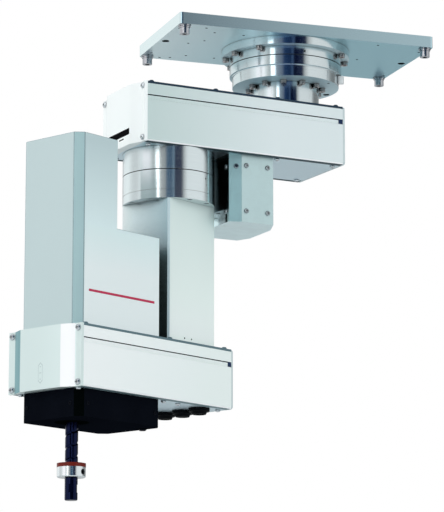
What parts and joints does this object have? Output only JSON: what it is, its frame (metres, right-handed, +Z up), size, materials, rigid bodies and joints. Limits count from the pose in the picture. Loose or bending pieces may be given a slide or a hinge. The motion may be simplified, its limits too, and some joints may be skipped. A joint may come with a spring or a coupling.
{
  "type": "scara robot arm",
  "caption": "Ceiling-mounted SCARA robot arm: base plate, two jointed arms offset by a column, and a ball-screw spline shaft with a stopper collar.",
  "frame": {"origin": "on the axis of joint 1, in the plane of the base plate's mounting face", "axes": "+X along the base plate's long side, +Z up, out of the mounting face towards the ceiling"},
  "size_m": [0.5775, 0.278, 0.6409],
  "materials": {
    "machined_plate": "milled",
    "turned_aluminium": "turned, semi-bright",
    "anodised_panel": "satin anodised",
    "deck_plate": "satin",
    "satin_cap": "satin",
    "zinc_sheet": "zinc-plated",
    "steel_sheet": "satin sheet",
    "black_plastic": "fine texture",
    "black_rubber": "matt",
    "steel_screw": "plated",
    "black_screw": "black oxide",
    "white_resin": "smooth",
    "reducer_steel": "ground",
    "motor_black": "satin",
    "pulley_alloy": "machined",
    "belt_rubber": "matt",
    "shaft_steel": "dark polished",
    "bright_aluminium": "turned",
    "brown_rubber": "satin"
  },
  "bodies": {
    "base": {"base_plate": "machined_plate", "mounting_screws": "steel_screw", "j1_housing": "turned_aluminium", "j1_flange_screws": "steel_screw", "j1_seal": "black_rubber", "j1_circular_spline": "reducer_steel"},
    "arm1": {"j1_output_ring": "turned_aluminium", "j1_hub": "turned_aluminium", "j1_hub_screws": "steel_screw", "j1_flexspline": "reducer_steel", "j1_index_block": "white_resin", "arm1_top_plate": "deck_plate", "arm1_bottom_plate": "deck_plate", "arm1_near_panel": "anodised_panel", "arm1_far_panel": "anodised_panel", "arm1_outer_cap": "satin_cap", "arm1_inner_cap": "satin_cap", "arm1_screws": "steel_screw", "arm1_slot_plugs": "black_plastic", "motor_cover": "zinc_sheet", "motor_cover_screws": "steel_screw", "j1_motor": "motor_black", "j2_motor": "motor_black", "j1_belt": "belt_rubber", "j2_belt": "belt_rubber", "j2_housing": "turned_aluminium", "j2_seal": "black_rubber", "j2_circular_spline": "reducer_steel"},
    "j1_reducer_input": {"j1_wave_generator": "reducer_steel"},
    "j1_motor_rotor": {"j1_motor_pulley": "pulley_alloy"},
    "j2_reducer_input": {"j2_wave_generator": "reducer_steel"},
    "j2_motor_rotor": {"j2_motor_pulley": "pulley_alloy"},
    "arm2": {"j2_output_ring": "turned_aluminium", "j2_column_flange": "turned_aluminium", "j2_flexspline": "reducer_steel", "column": "anodised_panel", "arm2_top_plate": "deck_plate", "arm2_bottom_plate": "deck_plate", "arm2_near_panel": "anodised_panel", "arm2_far_panel": "anodised_panel", "arm2_outer_cap": "satin_cap", "arm2_inner_cap": "satin_cap", "arm2_screws": "steel_screw", "arm2_slot_plugs": "black_plastic", "z_axis_cover": "steel_sheet", "lower_cover": "black_plastic", "lower_cover_screws": "black_screw", "cable_plugs": "black_rubber", "j3_motor": "motor_black", "j4_motor": "motor_black", "j3_belt": "belt_rubber", "j4_belt": "belt_rubber"},
    "j3_motor_rotor": {"j3_motor_pulley": "pulley_alloy"},
    "j4_motor_rotor": {"j4_motor_pulley": "pulley_alloy"},
    "spline_nut_unit": {"spline_nut": "reducer_steel"},
    "ball_nut_unit": {"ball_nut": "reducer_steel"},
    "shaft": {"z_shaft": "shaft_steel", "stopper_collar": "bright_aluminium", "stopper_cushion": "brown_rubber", "collar_screw": "black_screw"}
  },
  "joints": [
    {"name": "joint_1", "type": "hinge", "parent": "base", "child": "arm1", "pos_m": [0, 0, -0.0382], "axis": [0, 0, 1], "range_deg": [-233.45, 216.55]},
    {"name": "joint_2", "type": "hinge", "parent": "arm1", "child": "arm2", "pos_m": [-0.1731, -0.02572, -0.2082], "axis": [0, 0, 1], "range_deg": [-246.1, 203.9]},
    {"name": "joint_4", "type": "hinge", "parent": "arm2", "child": "spline_nut_unit", "pos_m": [-0.32534, -0.11202, -0.508], "axis": [0, 0, 1], "range_deg": [-720, 720]},
    {"name": "joint_3", "type": "slide", "parent": "spline_nut_unit", "child": "shaft", "axis": [0, 0, 1], "range_m": [-0.1, 0.05]},
    {"name": "ball_nut_spin", "type": "hinge", "parent": "spline_nut_unit", "child": "ball_nut_unit", "pos_m": [-0.32534, -0.11202, -0.462], "axis": [0, 0, 1], "range_deg": [-1127.12, 2253.25]},
    {"name": "j3_motor_spin", "type": "hinge", "parent": "arm2", "child": "j3_motor_rotor", "pos_m": [-0.2562, -0.09812, -0.464], "axis": [0, 0, 1], "range_deg": [-2478.47, 4955.95]},
    {"name": "j4_motor_spin", "type": "hinge", "parent": "arm2", "child": "j4_motor_rotor", "pos_m": [-0.2779, -0.05984, -0.492], "axis": [0, 0, 1], "range_deg": [-1586.58, 1586.58]},
    {"name": "j1_reducer_spin", "type": "hinge", "parent": "arm1", "child": "j1_reducer_input", "pos_m": [0, 0, -0.025], "axis": [0, 0, 1], "range_deg": [-11055.65, 11918.45]},
    {"name": "j1_motor_spin", "type": "hinge", "parent": "arm1", "child": "j1_motor_rotor", "pos_m": [-0.06784, -0.03333, -0.1215], "axis": [0, 0, 1], "range_deg": [-30955.81, 33371.66]},
    {"name": "j2_reducer_spin", "type": "hinge", "parent": "arm1", "child": "j2_reducer_input", "pos_m": [-0.1731, -0.02572, -0.19], "axis": [0, 0, 1], "range_deg": [-10205.7, 12317.92]},
    {"name": "j2_motor_spin", "type": "hinge", "parent": "arm1", "child": "j2_motor_rotor", "pos_m": [-0.07563, 0.01909, -0.1535], "axis": [0, 0, 1], "range_deg": [-28575.97, 34490.18]}
  ],
  "couplings": [
    {"joint": "ball_nut_spin", "follows": "joint_3", "rad_per_m": -392.7},
    {"joint": "j3_motor_spin", "follows": "joint_3", "rad_per_m": -863.94},
    {"joint": "j4_motor_spin", "follows": "joint_4", "ratio": 2.2},
    {"joint": "j1_reducer_spin", "follows": "joint_1", "ratio": -51},
    {"joint": "j1_motor_spin", "follows": "joint_1", "ratio": -142.8},
    {"joint": "j2_reducer_spin", "follows": "joint_2", "ratio": -50},
    {"joint": "j2_motor_spin", "follows": "joint_2", "ratio": -140}
  ]
}
